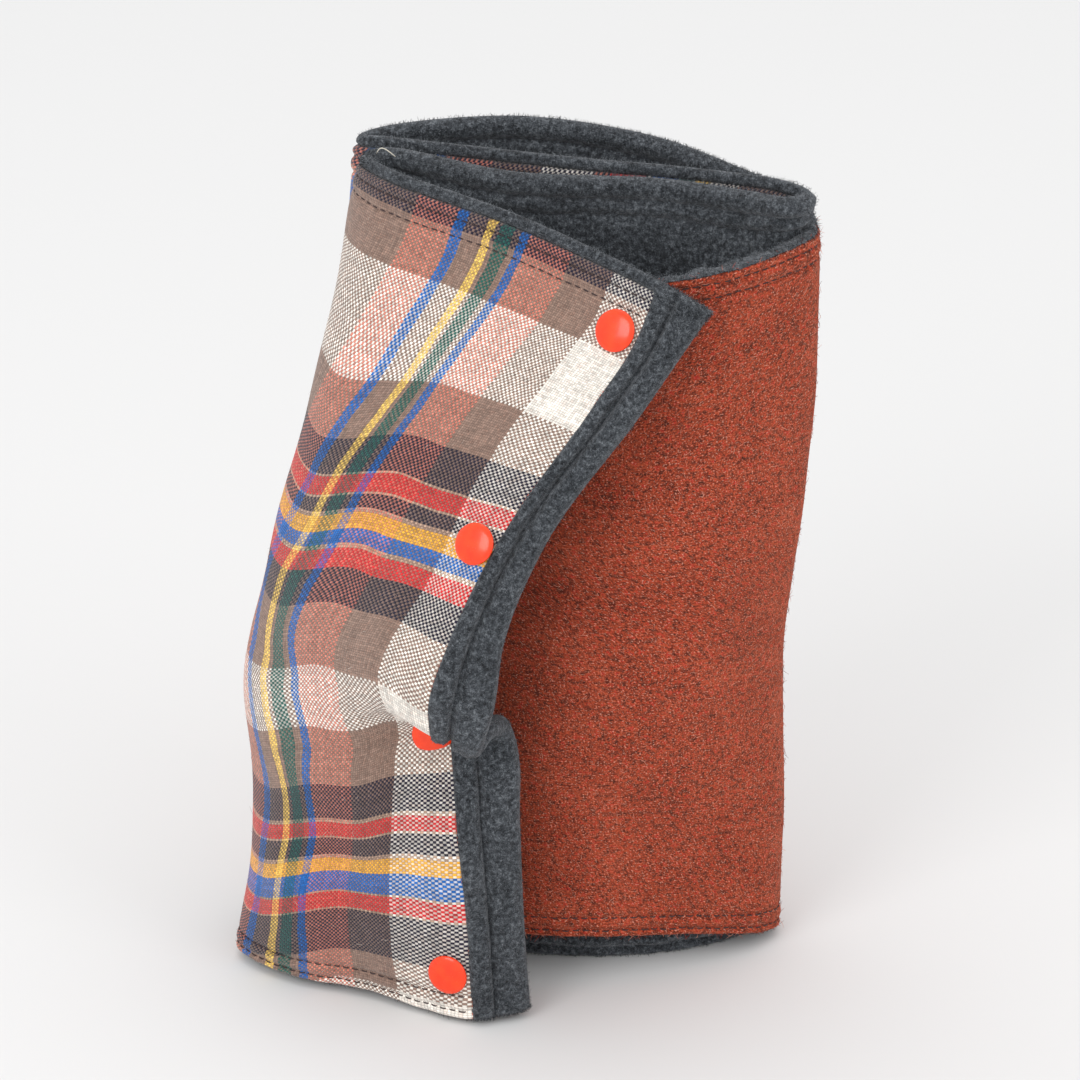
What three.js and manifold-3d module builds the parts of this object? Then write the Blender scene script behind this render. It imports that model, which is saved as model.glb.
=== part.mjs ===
// Snap-fastened hand warmer muff: one long strip of wool lined with fleece, folded and stood on its edge.
// Millimetres, +Z up. The origin is on the ground under the middle of the muff, and -Y is its front.
import * as THREE from 'three';
import Module from 'manifold-3d';
import { mergeVertices } from 'three/addons/utils/BufferGeometryUtils.js';

const wasm = await Module();
wasm.setup();

// Driving dimensions of the strip and its layers.
const STRIP_WIDTH = 254;
const WOOL = { inner: 0.5, outer: 2.0 };
const FLEECE = { inner: -2.6, outer: -0.5 };
const STAY = { inner: -0.15, outer: 0.15 };
const BORDER = { inner: FLEECE.inner, outer: WOOL.outer };
const PIECE_GAP = 0.7;
const ROWS = 10;

// How far, in section numbers, each moving panel stays clear of its fold.
const FLAP_CLEARANCE = 0.28;
const INNER_OVERLAP = 0.3;
const SIDE_OVERLAP = 0.45;
const FRONT_CLEARANCE = 0.3;

// Driving dimensions of the snaps.
const SNAP_COUNT = 4;
const SNAP_PITCH = 74.5;
const FIRST_SNAP_HEIGHT = 15.5;
const FRONT_BORDER = 0.26;
const SNAP_INSET = 0.34;
const STUD_INSET = 0.37;
const CAP_RADIUS = 6.2;
const CAP_RISE = 2.1;
const SOCKET_RADIUS = 5.4;
const SOCKET_DEPTH = 2.4;
const STUD_RADIUS = 5.2;
const STUD_PIN_RADIUS = 1.9;
const STUD_RISE = 2.6;
const POST_RADIUS = 1.2;
const HOLE_RADIUS = 1.7;
const FACE_GAP = 0.35;
const ROOM_CLEARANCE = 0.3;
const ROOM_REACH = 9;
const POST_GRIP = 0.5;
const TURNED_SIDES = 12;
const ROOM_SIDES = 10;

// A fold or panel line that runs up the strip: straight from bottom to top, plus a bow that is deepest at
// the part `at` of the height and fades over `wide` of it.
function line(bottom, top, bow = [0, 0], at = 0.42, wide = 0.2) {
  return [0, 0.15, 0.3, 0.45, 0.6, 0.8, 1].map((part) => {
    const fade = Math.exp(-(((part - at) / wide) ** 2));
    return [
      part * STRIP_WIDTH,
      bottom[0] + (top[0] - bottom[0]) * part + bow[0] * fade,
      bottom[1] + (top[1] - bottom[1]) * part + bow[1] * fade,
      bottom[2] + (top[2] - bottom[2]) * part,
    ];
  });
}

const LEFT_SAG = [-8, 0];

// Where the strip's middle surface runs, from the snap end to the other end. Each section climbs the strip's
// width; a knot is [distance across the strip's width, x, y, z].
const SECTIONS = {
  borderEdge: [
    [0, -3, -50, 2.5], [33, -5, -47.5, 35.5], [64, -6, -46, 67], [80, -6, -45.5, 83], [89, -8, -47, 90.5],
    [96, -10.5, -50, 95], [102, -13.5, -55, 98], [107, -15.5, -59, 100], [112, -15.5, -62, 103],
    [119, -14, -63, 109], [138, -10.5, -60, 128.5], [169, 1, -56, 157], [219, 29, -50, 196.5],
    [254, 47, -44, 222.5],
  ],
  woolEnd: [
    [0, -20, -55, 1.5], [35.5, -22, -52.5, 36.5], [60, -24.5, -51, 63], [77, -25.5, -48, 79.5],
    [84.5, -26, -46, 86.5], [91, -26.5, -45.5, 92], [97, -28, -48.5, 96.5], [103.5, -29.5, -54, 100.5],
    [109.5, -31, -59.5, 104], [117, -32, -63, 109.5], [137.5, -26, -61.5, 130], [166, -12, -55.5, 158],
    [217, 17, -47, 199.5], [239, 28, -43.5, 216.5], [254, 33, -40, 229.5],
  ],
  snapSide: [
    [0, -37.5, -47, 1.5], [35.5, -39.5, -46.5, 35.5], [60, -41.5, -46.5, 61], [80, -42, -45, 80.5],
    [89, -42, -44, 89.5], [95.5, -42.3, -44.2, 95.5], [101.5, -43, -47, 101], [107.5, -44, -51.5, 106],
    [113.5, -45, -55, 111], [121.5, -44, -56.5, 119.5], [138, -40, -53, 134], [166, -27, -46, 158.5],
    [217, 0.5, -36.5, 203], [239, 10.5, -32, 220.5], [254, 16, -29, 234],
  ],
  flapMiddle: [
    [0, -52, -39, 2.5], [36, -54, -41, 35], [64, -55, -42, 60], [90, -56, -43, 86], [116, -57, -44, 112],
    [140, -52, -41, 134], [165, -42, -35, 158], [217, -20, -24, 206], [254, -8, -16, 240.5],
  ],
  flapRoot: [
    [0, -75, -28, 2.5], [30, -79, -29, 28], [64, -79, -25, 58], [100, -81, -22, 94], [130, -75, -17, 124],
    [175, -63, -8, 170], [217, -54, 0, 211], [254, -46, 8, 246],
  ],
  frontFold: [
    [0, -91, -12, 2], [26, -88, -11.5, 24], [55, -85, -7, 53], [100, -86.5, -3, 97], [130, -80, 2, 128],
    [175, -67, 9, 174], [217, -58.5, 15, 214], [254, -52, 19, 246.5],
  ],
  innerStart: line([-80, 7, 0], [-46, 25, 246], LEFT_SAG),
  innerLeft: line([-40, -1, 0], [-8, 9, 244.5], [-4, 0]),
  innerMiddle: line([10, -11.5, 0], [34, 5, 244], [0, 2]),
  innerRight: line([44, -7, 0], [60, -4.5, 243.5]),
  pleatFront: [[0, 60, 1.5, 0], [228, 66, -8, 222], [254, 71, -12, 245]],
  pleatFold: [[0, 64, 7.5, 0], [228, 70.5, -4.5, 222], [254, 76, -8, 245]],
  pleatBack: [[0, 60, 11, 0], [228, 66, -1, 222], [254, 70, -3, 246]],
  pleatRight: line([30, 2, 0], [45, 8, 245.5]),
  pleatLeft: line([-30, 4, 0], [0, 17.5, 246.5]),
  pleatEnd: line([-75, 15, 0], [-46, 31, 247], LEFT_SAG),
  backFold: line([-82, 20, 0], [-53, 36, 246], LEFT_SAG),
  backStart: line([-76, 26, 0], [-45, 42, 246.5], LEFT_SAG),
  backLeft: line([-50, 42, 0], [-8, 47, 248], [-4, 2]),
  backMiddle: line([0, 50, 0], [29, 38, 246], [0, 3]),
  backRight: line([40, 38, 0], [56, 22, 242], [0, 3]),
  sideBack: line([68, 15, 0.5], [75, 12, 236.5]),
  sideFold: [
    [0, 72, 4, 1.5], [60, 73, 3, 58], [107, 72, 1, 101], [150, 75.5, -1, 140], [200, 79.5, -4, 186],
    [254, 79, -6, 235],
  ],
  sideFront: [
    [0, 67, -7, 5], [60, 69, -8, 59.5], [107, 68, -8, 101.5], [150, 71.5, -10, 140], [200, 75.5, -13, 186],
    [254, 75.5, -15, 235.5],
  ],
  frontRight: line([40, -21, 12], [50, -32, 232.5], [1, -5]),
  frontMiddle: line([0, -27, 15], [20, -27, 227], [0, -5]),
  frontEdge: line([-60, -11, 14], [-38, 12, 225.5], [0, -4]),
};
const NAMES = Object.keys(SECTIONS);
const at = Object.fromEntries(NAMES.map((name, index) => [name, index]));

// Cubic curve through points at growing knots, with its slopes taken from the neighbouring chords.
function curveAt(knots, points, where) {
  const last = knots.length - 1;
  const slope = (i) => points[i + 1].clone().sub(points[i]).divideScalar(knots[i + 1] - knots[i]);
  const tangent = (i) => {
    if (i === 0) return slope(0);
    if (i === last) return slope(last - 1);
    const before = knots[i] - knots[i - 1];
    const after = knots[i + 1] - knots[i];
    return slope(i - 1).multiplyScalar(after).addScaledVector(slope(i), before).divideScalar(before + after);
  };
  let i = 0;
  while (i < last - 1 && where >= knots[i + 1]) i += 1;
  const step = knots[i + 1] - knots[i];
  const t = (where - knots[i]) / step;
  return new THREE.Vector3()
    .addScaledVector(points[i], 2 * t ** 3 - 3 * t ** 2 + 1)
    .addScaledVector(tangent(i), (t ** 3 - 2 * t ** 2 + t) * step)
    .addScaledVector(points[i + 1], 3 * t ** 2 - 2 * t ** 3)
    .addScaledVector(tangent(i + 1), (t ** 3 - t ** 2) * step);
}

function sectionAt(name, height) {
  const knots = SECTIONS[name].map((knot) => knot[0]);
  const points = SECTIONS[name].map((knot) => new THREE.Vector3(knot[1], knot[2], knot[3]));
  return curveAt(knots, points, height);
}

// The strip's plan line at one height across its width, as a function of the section number.
function planLine(height) {
  const points = NAMES.map((name) => sectionAt(name, height));
  const knots = [0];
  for (let i = 1; i < points.length; i += 1) {
    knots.push(knots[i - 1] + Math.sqrt(points[i].distanceTo(points[i - 1])));
  }
  return (along) => {
    const i = Math.min(Math.floor(along), points.length - 2);
    return curveAt(knots, points, knots[i] + (knots[i + 1] - knots[i]) * (along - i));
  };
}

function surfacePoint(along, height) {
  return planLine(height)(along);
}

// Unit normal of the strip, out of its wool side.
function surfaceNormal(along, height) {
  const step = 0.02;
  const rise = 1;
  const low = Math.max(height - rise, 0);
  const high = Math.min(height + rise, STRIP_WIDTH);
  const start = Math.max(along - step, 0);
  const end = Math.min(along + step, NAMES.length - 1);
  const alongVector = surfacePoint(end, height).sub(surfacePoint(start, height));
  const upVector = surfacePoint(along, high).sub(surfacePoint(along, low));
  return upVector.cross(alongVector).normalize();
}

// Section numbers spread evenly between two places on the strip. Sections lie close together at the folds, so
// the columns do too.
function spread(start, end, count) {
  return Array.from({ length: count + 1 }, (_, n) => start + ((end - start) * n) / count);
}

// A closed sheet of cloth between two offsets from the strip's middle surface.
function sheet(layer, columns, heights) {
  const positions = [];
  for (const offset of [layer.inner, layer.outer]) {
    for (const height of heights) {
      for (const along of columns) {
        const normal = surfaceNormal(along, height);
        if (height === 0) normal.setZ(0).normalize();
        const point = surfacePoint(along, height).addScaledVector(normal, offset);
        positions.push(point.x, point.y, point.z);
      }
    }
  }
  const wide = columns.length;
  const tall = heights.length;
  const faces = [];
  const number = (side, row, column) => side * wide * tall + row * wide + column;
  const quad = (a, b, c, d) => faces.push(a, b, c, a, c, d);
  for (let row = 0; row + 1 < tall; row += 1) {
    for (let column = 0; column + 1 < wide; column += 1) {
      const corners = (side) => [
        number(side, row, column), number(side, row, column + 1),
        number(side, row + 1, column + 1), number(side, row + 1, column),
      ];
      const [a, b, c, d] = corners(1);
      quad(...corners(0));
      quad(a, d, c, b);
    }
  }
  for (let column = 0; column + 1 < wide; column += 1) {
    const next = column + 1;
    const top = tall - 1;
    quad(number(0, 0, next), number(0, 0, column), number(1, 0, column), number(1, 0, next));
    quad(number(0, top, column), number(0, top, next), number(1, top, next), number(1, top, column));
  }
  for (let row = 0; row + 1 < tall; row += 1) {
    const next = row + 1;
    const end = wide - 1;
    quad(number(0, row, 0), number(0, next, 0), number(1, next, 0), number(1, row, 0));
    quad(number(0, next, end), number(0, row, end), number(1, row, end), number(1, next, end));
  }
  const geometry = new THREE.BufferGeometry();
  geometry.setAttribute('position', new THREE.Float32BufferAttribute(positions, 3));
  geometry.setIndex(faces);
  return geometry;
}

function solidOf(geometry, matrix = new THREE.Matrix4()) {
  const plain = geometry.clone();
  for (const name of ['normal', 'uv']) plain.deleteAttribute(name);
  const merged = mergeVertices(plain.applyMatrix4(matrix), 1e-4);
  return new wasm.Manifold(new wasm.Mesh({
    numProp: 3,
    vertProperties: new Float32Array(merged.attributes.position.array),
    triVerts: new Uint32Array(merged.index.array),
  }));
}

function geometryOf(solid) {
  const mesh = solid.getMesh();
  const geometry = new THREE.BufferGeometry();
  geometry.setAttribute('position', new THREE.Float32BufferAttribute(mesh.vertProperties, 3));
  geometry.setIndex(new THREE.Uint32BufferAttribute(mesh.triVerts, 1));
  return geometry;
}

// The frame of a snap: +Z comes out of the wool, and the origin is on the strip's middle surface.
function snapMatrix(along, height) {
  const normal = surfaceNormal(along, height);
  const side = new THREE.Vector3(0, 0, 1).cross(normal).normalize();
  const matrix = new THREE.Matrix4().makeBasis(side, normal.clone().cross(side), normal);
  return matrix.setPosition(surfacePoint(along, height));
}

// A turned shape from an outline of [radius, height] points, with its axis along +Z.
function lathe(outline, sides = TURNED_SIDES) {
  const points = outline.map(([radius, height]) => new THREE.Vector2(radius, height));
  return new THREE.LatheGeometry(points, sides).rotateX(Math.PI / 2);
}

// The room a snap takes up in the cloth: a bore for its post, and a wider seat on each side where cloth that
// curves would otherwise run into its plates.
function snapRoom(frontRadius, backRadius) {
  const back = FLEECE.inner - FACE_GAP + ROOM_CLEARANCE;
  const front = WOOL.outer + FACE_GAP - ROOM_CLEARANCE;
  const backSeat = backRadius + ROOM_CLEARANCE;
  const frontSeat = frontRadius + ROOM_CLEARANCE;
  return lathe([
    [0, -ROOM_REACH], [backSeat, -ROOM_REACH], [backSeat, back], [HOLE_RADIUS, back],
    [HOLE_RADIUS, front], [frontSeat, front], [frontSeat, ROOM_REACH], [0, ROOM_REACH],
  ], ROOM_SIDES);
}

// A domed cap that sits `seat` above the strip's middle surface, with a post that reaches `through` below it.
function capShape(seat, through) {
  const crown = seat + CAP_RISE;
  return lathe([
    [0, -through], [POST_RADIUS, -through], [POST_RADIUS, seat], [CAP_RADIUS - 0.3, seat],
    [CAP_RADIUS, seat + 0.6], [CAP_RADIUS - 0.3, seat + 1.2], [CAP_RADIUS - 1.2, crown - 0.35],
    [CAP_RADIUS / 2, crown - 0.05], [0, crown],
  ]);
}

// A socket behind the cloth: a bore for the cap's post in front, and a mouth for a stud at its back.
function socketShape(seat) {
  const back = -seat - SOCKET_DEPTH;
  const mouth = STUD_PIN_RADIUS + 0.35;
  return lathe([
    [HOLE_RADIUS, -seat], [HOLE_RADIUS, back + 1.2], [mouth, back + 1.2], [mouth, back], [mouth + 1.4, back],
    [SOCKET_RADIUS - 0.8, back + 0.9], [SOCKET_RADIUS, back + 1.3], [SOCKET_RADIUS, -seat],
    [HOLE_RADIUS, -seat],
  ]);
}

// A stud: a plate with a blind bore for the cap's post, and a headed pin that snaps into a socket.
function studShape(seat) {
  const plate = -seat - 1;
  const tip = -seat - STUD_RISE;
  return lathe([
    [0, tip], [STUD_PIN_RADIUS - 0.4, tip], [STUD_PIN_RADIUS, tip + 0.4], [STUD_PIN_RADIUS - 0.2, tip + 0.8],
    [STUD_PIN_RADIUS - 0.2, plate], [STUD_RADIUS - 0.6, plate], [STUD_RADIUS, plate + 0.3],
    [STUD_RADIUS, -seat], [HOLE_RADIUS, -seat], [HOLE_RADIUS, -seat - 0.8], [0, -seat - 0.8],
  ]);
}

const looks = {
  plaid: { color: 0x8c7568, roughness: 0.95, metalness: 0 },
  rust: { color: 0x96472f, roughness: 0.95, metalness: 0 },
  fleece: { color: 0x3c4248, roughness: 1, metalness: 0 },
  stay: { color: 0xd8d4c8, roughness: 0.9, metalness: 0 },
  snap: { color: 0xff5020, roughness: 0.2, metalness: 0 },
};

const muff = new THREE.Group();

function addMesh(name, geometry, look) {
  const mesh = new THREE.Mesh(geometry, new THREE.MeshStandardMaterial(looks[look]));
  mesh.name = name;
  muff.add(mesh);
  return mesh;
}

const HEIGHTS = Array.from({ length: ROWS + 1 }, (_, n) => (STRIP_WIDTH * n) / ROWS);
const FINE_HEIGHTS = [
  0, 24, 50, 72, 84, 90, 94, 98, 101, 104, 108, 114, 124, 144, 172, 204, 232, STRIP_WIDTH,
];

// Places along the strip, as section numbers.
const SNAP_ALONG = at.woolEnd + SNAP_INSET;
const FLAP_ROOT = at.flapRoot - FLAP_CLEARANCE;
const INNER_START = at.frontFold - INNER_OVERLAP;
const INNER_SPLIT = at.innerMiddle + 0.35;
const WOOL_SEAM = at.backFold + 0.9;
const SIDE_SPLIT = at.backRight + 0.4;
const SIDE_END = at.sideFold + SIDE_OVERLAP;
const FRONT_START = at.sideFront + FRONT_CLEARANCE;
const FRONT_WOOL_END = at.frontEdge - FRONT_BORDER;
const STUD_ALONG = at.frontEdge - STUD_INSET;

// The step along the strip, in section numbers, that leaves half of PIECE_GAP on one side of this place.
function halfGap(along) {
  const reach = 0.05;
  const plan = planLine(STRIP_WIDTH / 2);
  return (PIECE_GAP * reach) / plan(along + reach).distanceTo(plan(along - reach));
}

const after = (along) => along + halfGap(along);
const before = (along) => along - halfGap(along);
const snapsAt = (along) => Array.from(
  { length: SNAP_COUNT },
  (_, n) => snapMatrix(along, FIRST_SNAP_HEIGHT + n * SNAP_PITCH),
);
const flapSnaps = snapsAt(SNAP_ALONG);
const frontSnaps = snapsAt(STUD_ALONG);

const capRoom = snapRoom(CAP_RADIUS, SOCKET_RADIUS);
const studRoom = snapRoom(STUD_RADIUS, CAP_RADIUS);
const flap = spread(after(at.woolEnd), FLAP_ROOT, 13);
const inner = spread(INNER_START, before(INNER_SPLIT), 19);
const pleat = spread(after(INNER_SPLIT), before(WOOL_SEAM), 26);
const back = spread(after(WOOL_SEAM), before(SIDE_SPLIT), 7);
const side = spread(after(SIDE_SPLIT), SIDE_END, 7);
const front = spread(FRONT_START, before(FRONT_WOOL_END), 10);
const flapBorder = spread(at.borderEdge, before(at.woolEnd), 3);
const frontBorder = spread(after(FRONT_WOOL_END), at.frontEdge, 2);

// Sheets of cloth: name, layer, look, columns and heights, then the snaps that pass through and their room.
const sheets = [
  ['plaid_flap', WOOL, 'plaid', flap, FINE_HEIGHTS, flapSnaps, capRoom],
  ['plaid_fold', WOOL, 'plaid', inner, HEIGHTS],
  ['plaid_pleat', WOOL, 'plaid', pleat, HEIGHTS],
  ['rust_back', WOOL, 'rust', back, HEIGHTS],
  ['rust_side_fold', WOOL, 'rust', side, HEIGHTS],
  ['rust_front', WOOL, 'rust', front, HEIGHTS, frontSnaps, studRoom],
  ['lining_flap', FLEECE, 'fleece', flap, FINE_HEIGHTS, flapSnaps, capRoom],
  ['lining_inner', FLEECE, 'fleece', inner, HEIGHTS],
  ['lining_pleat', FLEECE, 'fleece', pleat, HEIGHTS],
  ['lining_back', FLEECE, 'fleece', back, HEIGHTS],
  ['lining_side_fold', FLEECE, 'fleece', side, HEIGHTS],
  ['lining_front', FLEECE, 'fleece', front, HEIGHTS, frontSnaps, studRoom],
  ['snap_stay_flap', STAY, 'stay', flap.slice(0, 4), FINE_HEIGHTS, flapSnaps, capRoom],
  ['snap_stay_front', STAY, 'stay', front.slice(-4), HEIGHTS, frontSnaps, studRoom],
  ['end_border_flap', BORDER, 'fleece', flapBorder, FINE_HEIGHTS, flapSnaps, capRoom],
  ['end_border_front', BORDER, 'fleece', frontBorder, HEIGHTS],
];

for (const [name, layer, look, columns, heights, snaps, room] of sheets) {
  let geometry = sheet(layer, columns, heights);
  if (snaps) {
    let solid = solidOf(geometry);
    for (const matrix of snaps) solid = solid.subtract(solidOf(room, matrix));
    geometry = geometryOf(solid);
  }
  addMesh(name, geometry, look);
}

const WOOL_SEAT = WOOL.outer + FACE_GAP;
const FLEECE_SEAT = FACE_GAP - FLEECE.inner;

function addSnap(capName, capSeat, otherName, otherShape, otherSeat, matrix) {
  addMesh(capName, capShape(capSeat, otherSeat + POST_GRIP), 'snap').applyMatrix4(matrix);
  addMesh(otherName, otherShape(otherSeat), 'snap').applyMatrix4(matrix);
}

// The flap's caps show on the wool. The other end's caps lie on the fleece, so its studs face the flap.
flapSnaps.forEach((matrix, n) => {
  addSnap(`snap_cap_${n + 1}`, WOOL_SEAT, `snap_socket_${n + 1}`, socketShape, FLEECE_SEAT, matrix);
});
frontSnaps.forEach((matrix, n) => {
  const turned = matrix.clone().multiply(new THREE.Matrix4().makeRotationX(Math.PI));
  addSnap(`snap_back_cap_${n + 1}`, FLEECE_SEAT, `snap_stud_${n + 1}`, studShape, WOOL_SEAT, turned);
});

export default muff;
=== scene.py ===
"""Looks of the snap-fastened hand warmer muff.

It is one long strip of wool lined with fleece, folded and stood on its edge. The strip is laid out in
millimetres: `along` runs from the snap end to the other end, `across` climbs its width.
Everything else (positions in space, hinges, camera) is in metres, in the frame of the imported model.
"""
import math

import bpy
import numpy as np
from mathutils import Matrix, Vector


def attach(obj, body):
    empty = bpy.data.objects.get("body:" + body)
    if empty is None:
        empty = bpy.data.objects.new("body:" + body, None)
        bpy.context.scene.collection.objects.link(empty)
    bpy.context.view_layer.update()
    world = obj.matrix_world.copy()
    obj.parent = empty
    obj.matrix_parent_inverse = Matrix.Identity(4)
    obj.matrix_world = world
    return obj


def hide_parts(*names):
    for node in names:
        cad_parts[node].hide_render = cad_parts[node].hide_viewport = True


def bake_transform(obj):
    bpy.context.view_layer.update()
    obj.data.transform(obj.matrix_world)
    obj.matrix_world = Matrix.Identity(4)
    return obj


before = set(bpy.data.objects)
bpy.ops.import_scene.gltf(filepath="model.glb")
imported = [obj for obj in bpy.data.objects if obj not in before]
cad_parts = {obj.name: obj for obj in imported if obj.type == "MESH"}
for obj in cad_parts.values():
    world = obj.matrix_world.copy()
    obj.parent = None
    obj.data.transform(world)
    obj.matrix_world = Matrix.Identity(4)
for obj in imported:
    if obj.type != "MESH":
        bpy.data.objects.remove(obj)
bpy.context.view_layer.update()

MM = 0.001
STRIP_WIDTH = 254.0

# How the layers lie either side of the strip's middle surface, positive out of the wool side.
WOOL_OUTER, WOOL_INNER = 1.75, 0.25
FLEECE_OUTER, FLEECE_PILE = -0.25, 2.9
FLEECE_SEAT = 2.7
WOOL_BOTTOM, WOOL_TOP = 0.4, 254.2
FLEECE_BOTTOM, FLEECE_TOP = 0.0, 257.8

# The sewn edges: two rows of stitches, a ridge of cloth between them and a roll outside them.
STITCH_ROWS = (3.2, 8.2)
RIDGE, ROLL = 5.6, 1.6

# Where the pieces begin and end, as section numbers along the strip.
WOOL_END = 1.0
FLAP_FOLD = 5.6
FLAP_STITCH_END = 6.2
FLEECE_SPLIT = 8.35
WOOL_SEAM = 16.9
BACK_SPLIT = 19.0
STRIP_END = 26.0
FRONT_WOOL_END = STRIP_END - 0.26
SNAP_ALONG = WOOL_END + 0.34
STUD_ALONG = STRIP_END - 0.37
SNAP_HEIGHTS = [15.5 + 74.5 * n for n in range(4)]
CAP_RADIUS = 6.2


# ---- the strip's middle surface

def line(bottom, top, bow=(0, 0), at=0.42, wide=0.2):
    """A fold or panel line: straight from bottom to top, plus a bow that fades away from the part `at`."""
    knots = []
    for part in (0, 0.15, 0.3, 0.45, 0.6, 0.8, 1):
        fade = math.exp(-(((part - at) / wide) ** 2))
        knots.append((
            part * STRIP_WIDTH,
            bottom[0] + (top[0] - bottom[0]) * part + bow[0] * fade,
            bottom[1] + (top[1] - bottom[1]) * part + bow[1] * fade,
            bottom[2] + (top[2] - bottom[2]) * part,
        ))
    return knots


LEFT_SAG = (-8, 0)

# How much of the fleece's roll stands above the wool at the top hem, where it is not all of it.
HEM_RISE = {
    "side_fold": 0.7, "side_front": 0.25, "front_right": 0.15, "front_middle": 0.15, "front_edge": 0.15,
}

# Each section is a line up the strip; a knot is (distance across the strip, x, y, z).
SECTIONS = {
    "border_edge": [
        (0, -3, -50, 2.5), (33, -5, -47.5, 35.5), (64, -6, -46, 67), (80, -6, -45.5, 83), (89, -7.5, -46, 91),
        (95, -9.5, -49, 96.5), (101.5, -14, -57, 96.5), (106, -17.5, -61, 93), (110, -16.5, -63.5, 97.5),
        (117, -14, -63.5, 106), (138, -10.5, -60, 128.5), (169, 1, -56, 157), (219, 29, -50, 196.5),
        (254, 47, -44, 222.5),
    ],
    "wool_end": [
        (0, -20, -55, 1.5), (35.5, -22, -52.5, 36.5), (60, -24.5, -51, 63), (77, -25.5, -48, 79.5),
        (84.5, -26, -45, 86.5), (90, -26, -42.5, 92), (96, -27.5, -46.5, 96.5), (104, -30, -55, 99.5),
        (109, -31, -60.5, 101), (117, -32, -63.5, 109.5), (137.5, -26, -61.5, 130), (166, -12, -55.5, 158),
        (217, 17, -47, 199.5), (239, 28, -43.5, 216.5), (254, 33, -40, 229.5),
    ],
    "snap_side": [
        (0, -37.5, -47, 1.5), (35.5, -39.5, -46.5, 35.5), (60, -41.5, -46.5, 61), (80, -42, -45, 80.5),
        (89, -42, -43, 89.5), (95, -42, -42.5, 95), (101, -43, -46, 101), (107.5, -44, -52, 105.5),
        (113, -45, -55.5, 111), (121.5, -44, -56.5, 119.5), (138, -40, -53, 134), (166, -27, -46, 158.5),
        (217, 0.5, -36.5, 203), (239, 10.5, -32, 220.5), (254, 16, -29, 234),
    ],
    "flap_middle": [
        (0, -52, -39, 2.5), (36, -54, -41, 35), (64, -55, -42, 60), (90, -56, -43, 86), (116, -57, -44, 112),
        (140, -52, -41, 134), (165, -42, -35, 158), (217, -20, -24, 206), (254, -8, -16, 240.5),
    ],
    "flap_root": [
        (0, -75, -28, 2.5), (30, -79, -29, 28), (64, -79, -25, 58), (100, -81, -22, 94), (130, -75, -17, 124),
        (175, -63, -8, 170), (217, -54, 0, 211), (254, -46, 8, 246),
    ],
    "front_fold": [
        (0, -91, -12, 2), (26, -88, -11.5, 24), (55, -85, -7, 53), (100, -86.5, -3, 97), (130, -80, 2, 128),
        (175, -67, 9, 174), (217, -58.5, 15, 214), (254, -52, 19, 246.5),
    ],
    "inner_start": line((-80, 7, 0), (-46, 25, 246), LEFT_SAG),
    "inner_left": line((-40, -1, 0), (-8, 9, 244.5), (-4, 0)),
    "inner_middle": line((10, -11.5, 0), (34, 5, 244), (0, 2)),
    "inner_right": line((44, -7, 0), (60, -4.5, 243.5)),
    "pleat_front": [(0, 60, 1.5, 0), (228, 66, -8, 222), (254, 71, -12, 245)],
    "pleat_fold": [(0, 64, 7.5, 0), (228, 70.5, -4.5, 222), (254, 76, -8, 245)],
    "pleat_back": [(0, 60, 11, 0), (228, 66, -1, 222), (254, 70, -3, 246)],
    "pleat_right": line((30, 2, 0), (45, 8, 245.5)),
    "pleat_left": line((-30, 4, 0), (0, 17.5, 246.5)),
    "pleat_end": line((-75, 15, 0), (-46, 31, 247), LEFT_SAG),
    "back_fold": line((-82, 20, 0), (-53, 36, 246), LEFT_SAG),
    "back_start": line((-76, 26, 0), (-45, 42, 246.5), LEFT_SAG),
    "back_left": line((-50, 42, 0), (-8, 47, 248), (-4, 2)),
    "back_middle": line((0, 50, 0), (29, 38, 246), (0, 3)),
    "back_right": line((40, 38, 0), (56, 22, 242), (0, 3)),
    "side_back": line((68, 15, 0.5), (75, 12, 236.5)),
    "side_fold": [
        (0, 72, 4, 1.5), (60, 73, 3, 58), (107, 72, 1, 101), (150, 75.5, -1, 140), (200, 79.5, -4, 186),
        (254, 79, -6, 235),
    ],
    "side_front": [
        (0, 67, -7, 5), (60, 69, -8, 59.5), (107, 68, -8, 101.5), (150, 71.5, -10, 140),
        (200, 75.5, -13, 186), (254, 75.5, -15, 235.5),
    ],
    "front_right": line((40, -21, 12), (50, -32, 232.5), (1, -5)),
    "front_middle": line((0, -27, 15), (20, -27, 227), (0, -5)),
    "front_edge": line((-60, -11, 14), (-38, 12, 225.5), (0, -4)),
}


def curve(knots, values, where):
    """Cubic curve through values at growing knots, with its slopes taken from the neighbouring chords."""
    knots = np.asarray(knots, float)
    values = np.asarray(values, float)
    where = np.asarray(where, float)
    gap = np.diff(knots)
    chord = np.diff(values, axis=0) / gap[:, None]
    slope = np.empty_like(values)
    slope[0], slope[-1] = chord[0], chord[-1]
    weight = (gap[:-1] + gap[1:])[:, None]
    slope[1:-1] = (chord[:-1] * gap[1:, None] + chord[1:] * gap[:-1, None]) / weight
    i = np.clip(np.searchsorted(knots, where, side="right") - 1, 0, len(knots) - 2)
    t = ((where - knots[i]) / gap[i])[:, None]
    step = gap[i][:, None]
    return (
        (2 * t**3 - 3 * t**2 + 1) * values[i] + (t**3 - 2 * t**2 + t) * step * slope[i]
        + (3 * t**2 - 2 * t**3) * values[i + 1] + (t**3 - t**2) * step * slope[i + 1]
    )


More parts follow.
